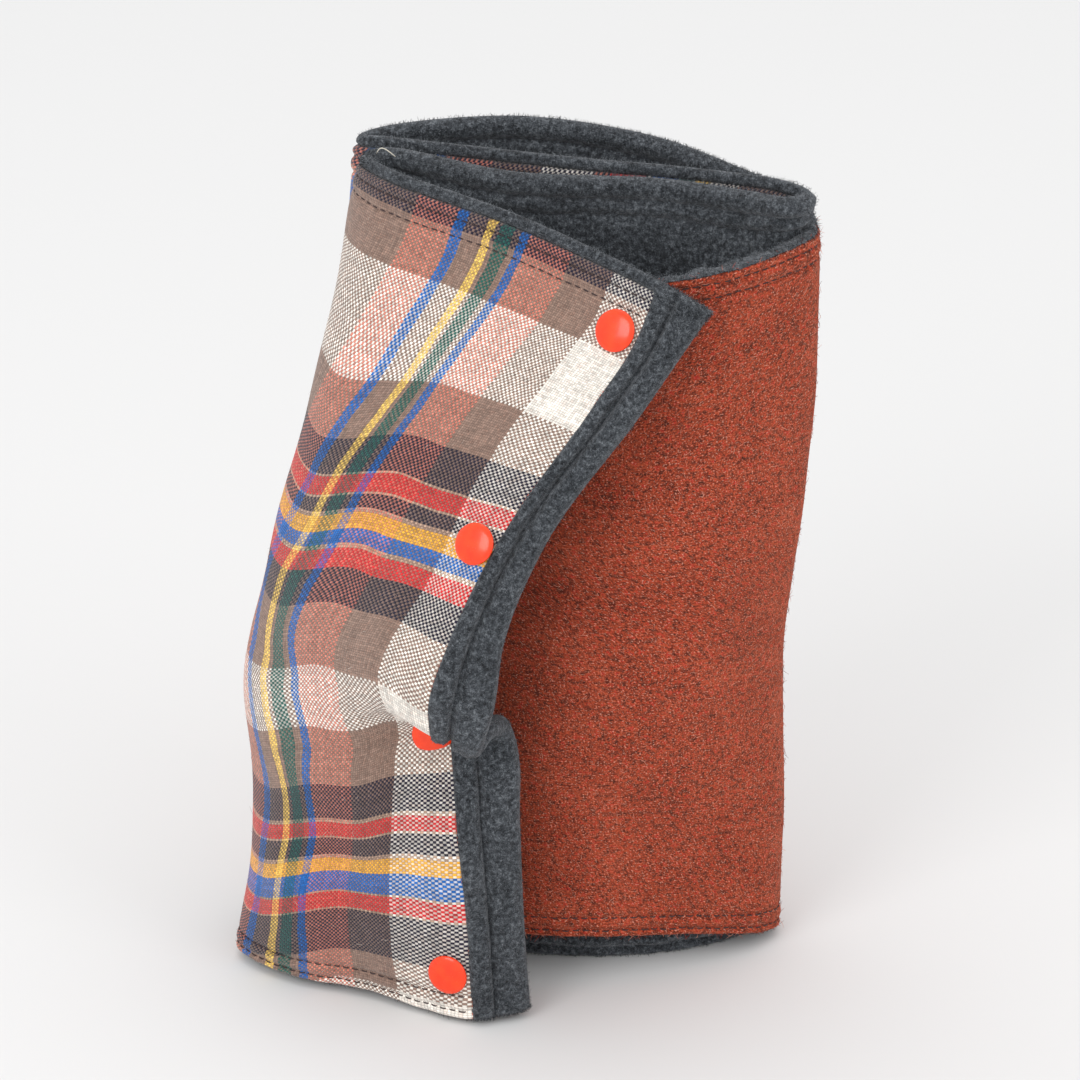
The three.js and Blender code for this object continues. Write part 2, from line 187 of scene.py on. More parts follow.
def middle_surface(along, across):
    """Points of the middle surface in mm, as [across, along, xyz]. Past the edges it runs straight."""
    inside = np.clip(across, 0, STRIP_WIDTH)
    beyond = across - inside
    sections = []
    for name, knots in SECTIONS.items():
        table = np.array(knots, float)
        points = curve(table[:, 0], table[:, 1:], inside)
        reach = 2
        ends = curve(table[:, 0], table[:, 1:], np.array([0, reach, STRIP_WIDTH - reach, STRIP_WIDTH]))
        low, high = (ends[1] - ends[0]) / reach, (ends[3] - ends[2]) / reach
        lean = np.where((beyond > 0)[:, None], high, low)
        sections.append(points + lean * beyond[:, None] * HEM_RISE.get(name, 1))
    sections = np.stack(sections, axis=1)
    rows = []
    for points in sections:
        steps = np.sqrt(np.linalg.norm(np.diff(points, axis=0), axis=1))
        knots = np.concatenate([[0], np.cumsum(steps)])
        rows.append(curve(knots, points, np.interp(along, np.arange(len(points)), knots)))
    return np.stack(rows)


def normals_of(points):
    """Unit normals of a grid of points, out of the strip's wool side."""
    up = np.gradient(points, axis=0)
    forward = np.gradient(points, axis=1)
    normal = np.cross(up, forward)
    return normal / np.maximum(np.linalg.norm(normal, axis=2, keepdims=True), 1e-9)


def even_columns(start, end, step=1.5):
    """Section numbers between start and end that lie about `step` millimetres apart on the widest rows."""
    fine = np.linspace(start, end, 40 * max(2, int(math.ceil(end - start))))
    rows = middle_surface(fine, np.array([0.0, 64, 127, 190, 254]))
    lengths = np.linalg.norm(np.diff(rows, axis=1), axis=2).max(axis=0)
    run = np.concatenate([[0], np.cumsum(lengths)])
    count = max(3, int(math.ceil(run[-1] / step)))
    return np.interp(np.linspace(0, run[-1], count + 1), run, fine)


def edge_rows(bottom, top, step=1.4):
    """Heights across the strip between bottom and top: close together near both edges, where the hems are."""
    near = np.array([
        0, 0.12, 0.35, 0.7, 1.1, 1.6, 2.1, 2.6, 3.0, 3.4, 3.8, 4.4, 5.2, 6.0, 6.8, 7.4, 7.8, 8.2, 8.6,
        9.0, 9.6, 10.6, 12.0,
    ])
    hem = near[-1]
    count = int((top - bottom - 2 * hem) / step)
    middle = np.linspace(bottom + hem, top - hem, count + 1)[1:-1]
    return np.concatenate([bottom + near, middle, (top - near)[::-1]])


def bump(distance, width):
    return np.exp(-((distance / width) ** 2))


def rounded(distance, radius):
    """0 at an edge, rising along a quarter circle to 1 at `radius` from it."""
    near = 1 - np.clip(distance / radius, 0, 1)
    return np.sqrt(np.maximum(1 - near**2, 0))


class Strip:
    """The strip's grid: columns along it, rows across it, with the distance from the snap end's wool edge."""

    def __init__(self, columns, rows):
        self.columns, self.rows = columns, rows
        self.points = middle_surface(columns, rows)
        lengths = np.linalg.norm(np.diff(self.points, axis=1), axis=2)
        run = np.concatenate([np.zeros((len(rows), 1)), np.cumsum(lengths, axis=1)], axis=1)
        at_end = np.array([np.interp(WOOL_END, columns, row) for row in run])
        self.run = run - at_end[:, None]
        self.across = np.repeat(rows[:, None], len(columns), axis=1)
        self.normals = normals_of(self.points)
        self.points = self.points + self.normals * ripple(self.run, self.across)[..., None]
        self.normals = normals_of(self.points)


def ripple(run, across):
    """Shallow waves that the cloth takes by itself, and small puckers along its sewn edges, in mm."""
    waves = (
        0.35 * np.sin(run / 17 + across / 41 + 0.4) * np.sin(across / 23 - run / 67)
        + 0.22 * np.sin(run / 9.5 - across / 15 + 1.9) * np.sin(across / 13 + run / 31)
    ) * (1 + 1.6 * np.exp(-(((run - 70) / 45) ** 2)))
    edge = np.minimum(across, STRIP_WIDTH - across)
    puckers = 0.16 * np.sin(run / 1.45 + 1.7 * np.sin(run / 11)) + 0.12 * np.sin(run / 2.6 + across / 9)
    return waves + puckers * bump(edge - 6, 5.5)


BORDER_STEP, FLAP_STEP = 0.8, 1.2
columns = np.unique(np.concatenate([
    even_columns(0, WOOL_END, BORDER_STEP), even_columns(WOOL_END, FLAP_FOLD, FLAP_STEP),
    even_columns(FLAP_FOLD, FLEECE_SPLIT), even_columns(FLEECE_SPLIT, WOOL_SEAM),
    even_columns(WOOL_SEAM, BACK_SPLIT), even_columns(BACK_SPLIT, FRONT_WOOL_END),
    even_columns(FRONT_WOOL_END, STRIP_END, BORDER_STEP),
]))
wool_strip = Strip(columns, edge_rows(WOOL_BOTTOM, WOOL_TOP))
fleece_strip = Strip(columns, edge_rows(FLEECE_BOTTOM, FLEECE_TOP))


# ---- cloth shells

def edge_distance(strip):
    """Distance of each grid point from the nearer long edge of its layer, in millimetres."""
    return np.minimum(strip.across - strip.rows[0], strip.rows[-1] - strip.across)


def cap_distance(strip):
    """Distance of each grid point from the nearest snap, in millimetres."""
    nearest = np.full(strip.run.shape, 1e3)
    for along in (SNAP_ALONG, STUD_ALONG):
        for height in SNAP_HEIGHTS:
            centre = middle_surface(np.array([along]), np.array([height]))[0, 0]
            nearest = np.minimum(nearest, np.linalg.norm(strip.points - centre, axis=2))
    return nearest


def wool_outer(strip):
    """Offset of the wool's face: rolled at the hems, drawn in along the stitching and under the snaps."""
    thinnest, edge_radius, seam_depth, seam_width = 0.15, 1.5, 0.62, 0.75
    edge = edge_distance(strip)
    offset = WOOL_OUTER + 0.35 * bump(edge - RIDGE, 1.8) + 0.2 * bump(edge - ROLL, 1.2)
    for row in STITCH_ROWS:
        offset = offset - seam_depth * bump(edge - row, seam_width)
    offset = offset - 0.35 * bump(cap_distance(strip) - CAP_RADIUS, 2.4)
    return WOOL_INNER + thinnest + (offset - WOOL_INNER - thinnest) * rounded(edge, edge_radius)


def wool_inner(strip):
    return np.full(strip.run.shape, WOOL_INNER)


def lumps(shape, seed):
    """Soft random lumps about two grid steps wide, from about -1 to 1."""
    field = np.random.default_rng(seed).normal(size=shape)
    for axis in (0, 1):
        field = (np.roll(field, 1, axis) + 2 * field + np.roll(field, -1, axis)) / 2.45
    return field


# The fleece's edges round off about a core this far under the middle surface, its ends over this radius.
CORE = 0.5
END_RADIUS = 2.6


def fleece_inner(strip):
    """Offset of the fleece's pile: a thick roll at the long edges, deep grooves along the stitching."""
    seam_depth, seam_width, socket_radius = 1.15, 0.95, 5.4
    edge = edge_distance(strip)
    top = strip.across > STRIP_WIDTH / 2
    seam = edge - np.where(top, FLEECE_TOP - WOOL_TOP, 0)
    pile = FLEECE_PILE + 0.5 * bump(seam - RIDGE, 2.0) + 1.1 * bump(seam + 0.2, 2.6)
    for row in STITCH_ROWS:
        pile = pile - seam_depth * bump(seam - row, seam_width)
    pile = pile - 0.5 * bump(cap_distance(strip) - socket_radius, 2.4)
    pile = pile + 0.16 * lumps(strip.run.shape, seed=11)
    start, end = end_distance(strip)
    near = 60
    for distance in (start, end):
        pile = pile * np.where(distance < near, rounded(distance + 0.05, END_RADIUS), 1)
    return -CORE - (pile - CORE) * rounded(edge + 0.03, 2.4)


def end_distance(strip):
    """Distance along the cloth from the strip's first and last column."""
    first = strip.run - strip.run[:, :1]
    last = strip.run[:, -1:] - strip.run
    return first, last


def fleece_outer(strip):
    """Offset of the fleece's wool side: under the wool, over its top edge, and above it at the ends."""
    above = np.clip((strip.across - WOOL_TOP + 0.2) / 1.2, 0, 1)
    cover = FLEECE_OUTER + 1.35 * above**2 * (3 - 2 * above)
    start, end = end_distance(strip)
    front_wool_edge = strip.run[:, -1:] - distance_to_front_end(strip)
    border_height, groove_depth = 2.5, 2.3
    groove_part, inner_part, outer_part = 0.63, 0.3, 0.83
    for distance, inward in ((start, strip.run), (end, -(strip.run - front_wool_edge))):
        rise = np.clip((0.6 - inward) / 0.9, 0, 1)
        width = distance - inward
        groove = groove_depth * bump(distance - groove_part * width, 0.85)
        groove = groove - 0.14 * lumps(strip.run.shape, seed=12)
        border = (border_height + 0.6 * bump(distance - inner_part * width, 3.2)
                  + 0.3 * bump(distance - outer_part * width, 1.6) - groove)
        border = -0.4 + (border + 0.4) * rounded(distance + 0.05, END_RADIUS)
        cover = np.where(rise > 0, cover + (np.maximum(border, cover) - cover) * rise, cover)
    return -CORE + (cover + CORE) * rounded(edge_distance(strip) + 0.03, 2.2) + 0.15


def distance_to_front_end(strip):
    """How far the other end's wool edge lies from the strip's last column, on each row."""
    wool_run = np.array([np.interp(FRONT_WOOL_END, strip.columns, row) for row in strip.run])
    return strip.run[:, -1:] - wool_run[:, None]


# How the stripes wander over the flap. Warp: at each distance across, how far in from the wool's end the
# cream stripe ends and the first blue line and the yellow line lie. Weft: how far the bands drop towards
# the fold, where the drop starts and over what width, and at what height it fades out.
DRIFT_ACROSS = (0, 35, 60, 80, 94, 124, 150, 180, 254)
CREAM_DRIFT = (24, 24, 20, 17, 15, 17, 13, 17, 14)
BLUE_DRIFT = (57, 53, 48, 47, 45, 59, 53.5, 50, 44)
YELLOW_DRIFT = (70, 62, 58, 58, 62, 74, 67, 60, 55)
CREAM_EDGE, BLUE_LINE, YELLOW_LINE = 15.0, 47.5, 58.5
BAND_DROP, DROP_START, DROP_WIDTH = 13.0, 38.0, 42.0
DROP_TOP, DROP_FADE = 230, 50


def smooth(part):
    part = np.clip(part, 0, 1)
    return part * part * (3 - 2 * part)


def plaid_coordinates(strip):
    """Where each grid point falls in the plaid: along the warp repeat and across the weft bands, in mm."""
    along = np.empty_like(strip.run)
    knots = np.array(DRIFT_ACROSS, float)
    inside = strip.rows.clip(0, STRIP_WIDTH)
    drifts = [curve(knots, np.array(drift, float)[:, None], inside)[:, 0]
              for drift in (CREAM_DRIFT, BLUE_DRIFT, YELLOW_DRIFT)]
    far = 1000.0
    for n, run in enumerate(strip.run):
        cream, blue, yellow = (drift[n] for drift in drifts)
        along[n] = np.interp(run, [-far, 0, cream, blue, yellow, yellow + far],
                             [-far, 0, CREAM_EDGE, BLUE_LINE, YELLOW_LINE, YELLOW_LINE + far])
    drop = BAND_DROP * smooth((strip.run - DROP_START) / DROP_WIDTH)
    return along, strip.across + drop * smooth((DROP_TOP - strip.across) / DROP_FADE)


def linked(name, data):
    """A new object in the scene."""
    piece = bpy.data.objects.new(name, data)
    bpy.context.scene.collection.objects.link(piece)
    return piece


def new_object(name, vertices, faces, along, across):
    """A mesh object in metres from points in millimetres, with the strip's distances as attributes."""
    mesh = bpy.data.meshes.new(name)
    mesh.vertices.add(len(vertices))
    mesh.vertices.foreach_set("co", (np.asarray(vertices) * MM).astype(np.float32).ravel())
    faces = np.asarray(faces)
    corners = faces.shape[1]
    mesh.loops.add(faces.size)
    mesh.loops.foreach_set("vertex_index", faces.astype(np.int32).ravel())
    mesh.polygons.add(len(faces))
    mesh.polygons.foreach_set("loop_start", np.arange(0, faces.size, corners, dtype=np.int32))
    mesh.polygons.foreach_set("loop_total", np.full(len(faces), corners, np.int32))
    mesh.update(calc_edges=True)
    mesh.polygons.foreach_set("use_smooth", np.ones(len(faces), bool))
    for key, values in (("along", along), ("across", across)):
        attribute = mesh.attributes.new(key, "FLOAT", "POINT")
        attribute.data.foreach_set("value", np.asarray(values, np.float32).ravel())
    return linked(name, mesh)


def shell(name, strip, start, end, outer, inner, coordinates=None):
    """A closed sheet of cloth between two offsets from the strip's middle surface, from start to end."""
    tiny = 1e-6
    first, last = np.searchsorted(strip.columns, [start - tiny, end - tiny])
    cut = slice(first, last + 1)
    points, normals = strip.points[:, cut], strip.normals[:, cut]
    tall, wide = points.shape[:2]
    vertices = np.concatenate(
        [(points + normals * offset[:, cut, None]).reshape(-1, 3) for offset in (inner, outer)])
    number = np.arange(tall * wide).reshape(tall, wide)
    grid = np.stack([number[:-1, :-1], number[:-1, 1:], number[1:, 1:], number[1:, :-1]], axis=-1)
    grid = grid.reshape(-1, 4)
    far = tall * wide
    bottom, top, left, right = number[0], number[-1], number[:, 0], number[:, -1]
    faces = np.concatenate([
        grid,
        grid[:, ::-1] + far,
        np.stack([bottom[1:], bottom[:-1], bottom[:-1] + far, bottom[1:] + far], axis=-1),
        np.stack([top[:-1], top[1:], top[1:] + far, top[:-1] + far], axis=-1),
        np.stack([left[:-1], left[1:], left[1:] + far, left[:-1] + far], axis=-1),
        np.stack([right[1:], right[:-1], right[:-1] + far, right[1:] + far], axis=-1),
    ])
    run, across = coordinates or (strip.run, strip.across)
    run, across = np.tile(run[:, cut].ravel(), 2), np.tile(across[:, cut].ravel(), 2)
    piece = new_object(name, vertices, faces, run, across)
    piece.data.set_sharp_from_angle(angle=math.radians(70))
    return piece


# ---- small parts: stitches, fibres, snaps

def tubes(name, paths, radii, sides=6, shade=None):
    """Closed round tubes along many paths, joined in one mesh. Paths are [tube, point, xyz] in mm."""
    count, length = paths.shape[:2]
    tangent = np.gradient(paths, axis=1)
    tangent /= np.maximum(np.linalg.norm(tangent, axis=2, keepdims=True), 1e-9)
    helper = np.where(np.abs(tangent[..., 2:]) > 0.9, [1.0, 0, 0], [0, 0, 1.0])
    side = np.cross(tangent, helper)
    side /= np.maximum(np.linalg.norm(side, axis=2, keepdims=True), 1e-9)
    other = np.cross(tangent, side)
    angle = np.arange(sides) * 2 * math.pi / sides
    ring = side[:, :, None] * np.cos(angle)[:, None] + other[:, :, None] * np.sin(angle)[:, None]
    vertices = paths[:, :, None] + ring * np.asarray(radii)[..., None, None]
    base = np.arange(count)[:, None, None] * length * sides
    row = np.arange(length - 1)[None, :, None] * sides
    here, beside = np.arange(sides), (np.arange(sides) + 1) % sides
    below = base + row
    walls = np.stack([below + here, below + beside, below + sides + beside, below + sides + here], axis=-1)
    starts = np.arange(count) * length * sides
    ends = starts + (length - 1) * sides
    faces = walls.reshape(-1, 4).tolist()
    faces += (starts[:, None] + here[::-1]).tolist() + (ends[:, None] + here).tolist()
    mesh = bpy.data.meshes.new(name)
    mesh.from_pydata((vertices.reshape(-1, 3) * MM).tolist(), [], faces)
    mesh.polygons.foreach_set("use_smooth", np.ones(len(mesh.polygons), bool))
    if shade is not None:
        attribute = mesh.attributes.new("shade", "FLOAT", "POINT")
        attribute.data.foreach_set("value", np.repeat(shade, length * sides).astype(np.float32))
    return linked(name, mesh)


def lathe(name, outline, place, segments=64):
    """A turned part. The outline is (radius, height) in mm from axis to axis, and +Z of place is its axis."""
    outline = np.array(outline, float)
    angle = np.arange(segments) * 2 * math.pi / segments
    ring = outline[1:-1]
    vertices = np.stack([
        ring[:, :1] * np.cos(angle), ring[:, :1] * np.sin(angle), np.repeat(ring[:, 1:], segments, axis=1),
    ], axis=-1).reshape(-1, 3)
    vertices = np.concatenate([vertices, [[0, 0, outline[0, 1]], [0, 0, outline[-1, 1]]]])
    here = np.arange(segments)
    beside = (here + 1) % segments
    band = np.stack([here, beside, beside + segments, here + segments], axis=-1)
    faces = []
    for row in range(len(ring) - 1):
        faces += (band + row * segments).tolist()
    low, high, last = len(vertices) - 2, len(vertices) - 1, (len(ring) - 1) * segments
    faces += [[int(low), int(b), int(a)] for a, b in zip(here, beside)]
    faces += [[int(high), int(a + last), int(b + last)] for a, b in zip(here, beside)]
    mesh = bpy.data.meshes.new(name)
    mesh.from_pydata((vertices * MM).tolist(), [], faces)
    mesh.transform(place)
    mesh.polygons.foreach_set("use_smooth", np.ones(len(mesh.polygons), bool))
    mesh.set_sharp_from_angle(angle=math.radians(50))
    return linked(name, mesh)


def on_strip(strip, offset, across, runs):
    """Points on a face of the strip at one distance across it and many distances along it."""
    row = int(np.clip(np.searchsorted(strip.rows, across), 1, len(strip.rows) - 1))
    part = (across - strip.rows[row - 1]) / (strip.rows[row] - strip.rows[row - 1])
    found = []
    for n in (row - 1, row):
        points = strip.points[n] + strip.normals[n] * offset[n][:, None]
        found.append(np.stack([np.interp(runs, strip.run[n], points[:, k]) for k in range(3)], axis=-1))
    return found[0] * (1 - part) + found[1] * part


def stitching(name, strip, start, end, offset):
    """Two rows of machine stitches along both long edges of a panel, each stitch a short sunk loop."""
    length, gap, radius, samples, sunk, rise, from_end = 2.5, 0.5, 0.2, 5, 0.42, 0.62, 1.5
    part = np.linspace(0, 1, samples)
    lift = -sunk + rise * np.sqrt(np.sin(part * math.pi))
    paths = []
    for distance in STITCH_ROWS:
        for across in (distance, WOOL_TOP - distance):
            row = int(np.searchsorted(strip.rows, across))
            first, last = np.interp([start, end], strip.columns, strip.run[row])
            starts = np.arange(first + from_end, last - length - from_end, length + gap)
            runs = starts[:, None] + part * length
            below = on_strip(strip, offset, across, runs.ravel()).reshape(*runs.shape, 3)
            above = on_strip(strip, offset + 1, across, runs.ravel()).reshape(*runs.shape, 3)
            paths.append(below + (above - below) * lift[:, None])
    paths = np.concatenate(paths)
    return tubes(name, paths, np.full(paths.shape[:2], radius))


def fibres(name, piece, chosen, count, length, lean, radius, seed):
    """Loose fibres on a piece's surface at random vertices. `lean` lays them down along it."""
    draw = np.random.default_rng(seed)
    mesh = piece.data
    places, outward = np.empty(len(mesh.vertices) * 3), np.empty(len(mesh.vertices) * 3)
    mesh.vertices.foreach_get("co", places)
    mesh.vertex_normals.foreach_get("vector", outward)
    places, outward = places.reshape(-1, 3) / MM, outward.reshape(-1, 3)
    allowed = np.flatnonzero(chosen(attribute_of(mesh, "along"), attribute_of(mesh, "across")))
    picked = draw.choice(allowed, count)
    normal = outward[picked]
    spread = draw.normal(size=(count, 3))
    spread -= normal * (spread * normal).sum(axis=1, keepdims=True)
    root = places[picked] + spread * 0.35 - normal * 0.15
    turn = draw.normal(size=(count, 3))
    turn -= normal * (turn * normal).sum(axis=1, keepdims=True)
    turn /= np.linalg.norm(turn, axis=1, keepdims=True)
    bend = draw.normal(size=(count, 3)) * 0.25
    size = length * draw.uniform(0.5, 1.3, (count, 1))
    rise = 1 - lean * draw.uniform(0.7, 1.0, (count, 1))
    middle = root + size * 0.5 * (turn * lean + normal * (rise + 0.12))
    tip = middle + size * 0.5 * (turn * lean + bend + normal * rise * 0.6)
    paths = np.stack([root, middle, tip], axis=1)
    paths[..., 2] = np.maximum(paths[..., 2], 2 * radius)
    radii = radius * np.array([1.0, 0.8, 0.35]) * np.ones((count, 1))
    return tubes(name, paths, radii, sides=3, shade=draw.uniform(size=count))


def attribute_of(mesh, name):
    values = np.empty(len(mesh.vertices), np.float32)
    mesh.attributes[name].data.foreach_get("value", values)
    return values


def stray_thread():
    """A loose end of pale thread that curls over the hem at the left fold."""
    start = middle_surface(np.array([5.0]), np.array([WOOL_TOP + 1]))[0, 0] + (4, -2, 3)
    part = np.linspace(0, 1, 9)[:, None]
    path = start + part * (5.5, -1, -0.5) + np.sin(part * math.pi) * (-1, 0, 2.2)
    return tubes("stray_hem_thread", path[None], np.full((1, len(path)), 0.16))


def snap_place(along, height, turned=False):
    """Where a snap sits: on the middle surface, with +Z out of the wool, or out of the fleece if turned."""
    step, rise = 0.02, 1.0
    grid = middle_surface(np.array([along - step, along, along + step]),
                          np.array([height - rise, height, height + rise]))
    normal = np.cross(grid[2, 1] - grid[0, 1], grid[1, 2] - grid[1, 0])
    normal = Vector(normal / np.linalg.norm(normal))
    side = Vector((0, 0, 1)).cross(normal).normalized()
    turn = Matrix((side, normal.cross(side), normal)).transposed().to_4x4()
    place = Matrix.Translation(Vector(grid[1, 1]) * MM) @ turn
    return place @ Matrix.Rotation(math.pi, 4, "X") if turned else place


def arc(centre, radius, start, end, count):
    """Outline points on an arc, angles in degrees from the outward direction."""
    angles = np.radians(np.linspace(start, end, count))
    return [(centre[0] + radius * math.cos(a), centre[1] + radius * math.sin(a)) for a in angles]


def cap_outline(seat):
    """A pressed plastic cap: shallow dome, bevelled shoulder, round rim, flat back with a stub post."""
    round_, post, crown = 0.55, 1.2, 1.95
    rim = CAP_RADIUS - round_
    shoulder = rim - 0.5
    dome = [(r, seat + crown - 0.55 * (r / shoulder) ** 2.4) for r in np.linspace(shoulder, 0, 12)]
    return [(0, -1.0), (post, -1.0), (post, seat), *arc((rim, seat + round_), round_, -90, 62, 9), *dome]


def socket_outline(seat):
    """The female half behind the cloth: a round-edged disc with a mouth and a ring around it."""
    back = -seat - 2.1
    return [
        (0, back + 1.5), (1.75, back + 1.5), (1.9, back + 0.2), *arc((2.6, back + 0.5), 0.5, -150, -20, 6),
        (3.3, back + 0.95), (4.3, back + 1.05), *arc((4.8, back + 1.55), 0.5, -80, 80, 7),
        (1.2, -seat), (0, -seat),
    ]


def stud_outline(seat):
    """The male half: a thin round-edged plate with a headed pin."""
    tip = -seat - 2.6
    return [
        (0, tip), (1.3, tip + 0.05), *arc((1.45, tip + 0.45), 0.4, -60, 60, 5), (1.6, tip + 1.1),
        (1.75, -seat - 1.05), (4.5, -seat - 0.95), *arc((4.75, -seat - 0.5), 0.45, -70, 70, 6),
        (1.2, -seat), (0, -seat),
    ]


# ---- materials

def linear(red, green, blue):
    """A colour given as it looks on screen (0 to 255), as the shader wants it."""
    def channel(value):
        value /= 255
        return value / 12.92 if value <= 0.04045 else ((value + 0.055) / 1.055) ** 2.4
    return (channel(red), channel(green), channel(blue), 1)


class Shader:
    """A material built node by node. Inputs may be numbers, colours or other nodes' outputs."""

    def __init__(self, name):
        self.material = bpy.data.materials.new(name)
        self.material.use_nodes = True
        self.tree = self.material.node_tree
        self.principled = next(n for n in self.tree.nodes if n.type == "BSDF_PRINCIPLED")

    def put(self, socket, value):
        if isinstance(value, bpy.types.NodeSocket):
            self.tree.links.new(value, socket)
        elif value is not None:
            socket.default_value = value

    def node(self, kind, *values, **settings):
        node = self.tree.nodes.new(kind)
        for key, value in settings.items():
            setattr(node, key, value)
        for socket, value in zip(node.inputs, values):
            self.put(socket, value)
        return node

    def math(self, operation, *values):
        return self.node("ShaderNodeMath", *values, operation=operation).outputs[0]

    def times(self, a, b):
        return self.math("MULTIPLY", a, b)

    def plus(self, a, b):
        return self.math("ADD", a, b)

    def minus(self, a, b):
        return self.math("SUBTRACT", a, b)

    def attribute(self, name):
        return self.node("ShaderNodeAttribute", attribute_name=name).outputs["Fac"]

    def position(self):
        return self.node("ShaderNodeNewGeometry").outputs["Position"]

    def shifted(self, vector, offset):
        return self.node("ShaderNodeMapping", vector, offset).outputs[0]

    def vector(self, x=0.0, y=0.0, z=0.0):
        return self.node("ShaderNodeCombineXYZ", x, y, z).outputs[0]

    def noise(self, vector, scale, detail=2.0, roughness=0.5):
        node = self.node("ShaderNodeTexNoise")
        self.put(node.inputs["Vector"], vector)
        node.inputs["Scale"].default_value = scale
        node.inputs["Detail"].default_value = detail
        node.inputs["Roughness"].default_value = roughness
        return node.outputs["Fac"]

    def random(self, vector):
        node = self.node("ShaderNodeTexWhiteNoise", noise_dimensions="2D")
        self.put(node.inputs["Vector"], vector)
        return node.outputs["Value"]

    def range(self, value, low, high, to_low=0.0, to_high=1.0):
        node = self.node("ShaderNodeMapRange", value, low, high, to_low, to_high)
        return node.outputs[0]

    def ramp(self, value, stops, interpolation="CONSTANT", with_alpha=False):
        node = self.node("ShaderNodeValToRGB", value)
        ramp = node.color_ramp
        ramp.interpolation = interpolation
        for n, (place, colour) in enumerate(stops):
            stop = ramp.elements[n] if n < 2 else ramp.elements.new(place)
            stop.position, stop.color = place, colour
        return (node.outputs[0], node.outputs[1]) if with_alpha else node.outputs[0]

    def mix(self, factor, a, b, blend="MIX"):
        node = self.node("ShaderNodeMix", data_type="RGBA", blend_type=blend)
        self.put(node.inputs[0], factor)
        self.put(node.inputs[6], a)
        self.put(node.inputs[7], b)
        return node.outputs[2]

    def grey(self, value):
        return self.node("ShaderNodeCombineColor", value, value, value).outputs[0]

    def set(self, **inputs):
        for key, value in inputs.items():
            self.put(self.principled.inputs[key.replace("_", " ")], value)

    def bump(self, height, distance, strength=1.0, under=None):
        node = self.node("ShaderNodeBump")
        node.inputs["Strength"].default_value = strength
        node.inputs["Distance"].default_value = distance
        self.put(node.inputs["Height"], height)
        self.put(node.inputs["Normal"], under)
        return node.outputs[0]


def yarn(red, green, blue, cover=0):
    """A yarn's colour. Alpha says how much of the yarns that cross over it a close-packed yarn hides."""
    return (*linear(red, green, blue)[:3], cover)


BOLD_COVER, NAVY_COVER = 0.45, 0.4
CREAM, TAUPE = yarn(255, 248, 238), yarn(152, 124, 110)
SALMON, PALE = yarn(220, 134, 114), yarn(190, 158, 136)
BLUE, GREEN = yarn(0, 104, 192, BOLD_COVER), yarn(20, 94, 84, BOLD_COVER)
YELLOW, GOLD = yarn(255, 212, 104, BOLD_COVER), yarn(250, 182, 56, BOLD_COVER)
RED, NAVY = yarn(216, 34, 38, BOLD_COVER), yarn(28, 22, 46, NAVY_COVER)

# Widths of the yarn stripes in millimetres. The warp is laid from the snap end inward, and its last row is
# hidden in the folds. The weft is laid from the bottom hem up, in two lists end to end.
WARP = [
    (CREAM, CREAM_EDGE), (TAUPE, 15), (SALMON, 14.5), (BLUE, 3.6), (TAUPE, 2.4), (GREEN, 3.6), (TAUPE, 1.6),
    (YELLOW, 3.4), (TAUPE, 6), (BLUE, 3.6), (SALMON, 14), (TAUPE, 32), (CREAM, 8),
    (YELLOW, 5.5), (GREEN, 5), (BLUE, 8), (CREAM, 2), (RED, 10), (SALMON, 5),
]
LOWER_BANDS = [
    (CREAM, 5), (TAUPE, 11), (NAVY, 16), (PALE, 0.8), (RED, 5.6), (PALE, 0.8), (BLUE, 7.2), (GOLD, 5.6),
    (PALE, 0.8), (NAVY, 6.4), (PALE, 0.8), (RED, 5.6), (PALE, 0.8), (NAVY, 11.6), (TAUPE, 19), (CREAM, 20),
]
UPPER_BANDS = [
    (TAUPE, 20), (NAVY, 10), (PALE, 0.8), (RED, 5.6), (PALE, 0.8), (BLUE, 4.6), (GOLD, 5.6), (PALE, 0.8),
    (NAVY, 4.4), (PALE, 0.8), (RED, 5.6), (PALE, 0.8), (NAVY, 11.2), (TAUPE, 17), (CREAM, 27), (TAUPE, 15.5),
    (NAVY, 16),
]
WEAVE_PITCH, FELT_PITCH = 0.72, 1.05


def stripes(widths):
    """Ramp stops for a list of (colour, width), and the whole length they cover."""
    whole = sum(width for _, width in widths)
    place, stops = 0.0, []
    for colour, width in widths:
        stops.append((place / whole, colour))
        place += width
    return stops, whole


def weave(shader, along, across, pitch):
    """Plain weave: which yarn lies on top, how high it stands, and both yarns' numbers."""
    def arch(part, power):
        return shader.math("POWER", shader.math("SINE", shader.times(part, math.pi)), power)

    columns_at = shader.math("DIVIDE", along, pitch)
    rows_at = shader.math("DIVIDE", across, pitch)
    warp_number, weft_number = shader.math("FLOOR", columns_at), shader.math("FLOOR", rows_at)
    parity = shader.math("FLOORED_MODULO", shader.plus(warp_number, weft_number), 2.0)
    in_warp, in_weft = shader.math("FRACT", columns_at), shader.math("FRACT", rows_at)
    over, beside = 0.9, 0.45
    warp_float = shader.times(arch(in_warp, over), arch(in_weft, beside))
    weft_float = shader.times(arch(in_weft, over), arch(in_warp, beside))
    warp_height = shader.times(warp_float, shader.minus(1.0, parity))
    height = shader.plus(shader.times(weft_float, parity), warp_height)
    return parity, height, warp_number, weft_number


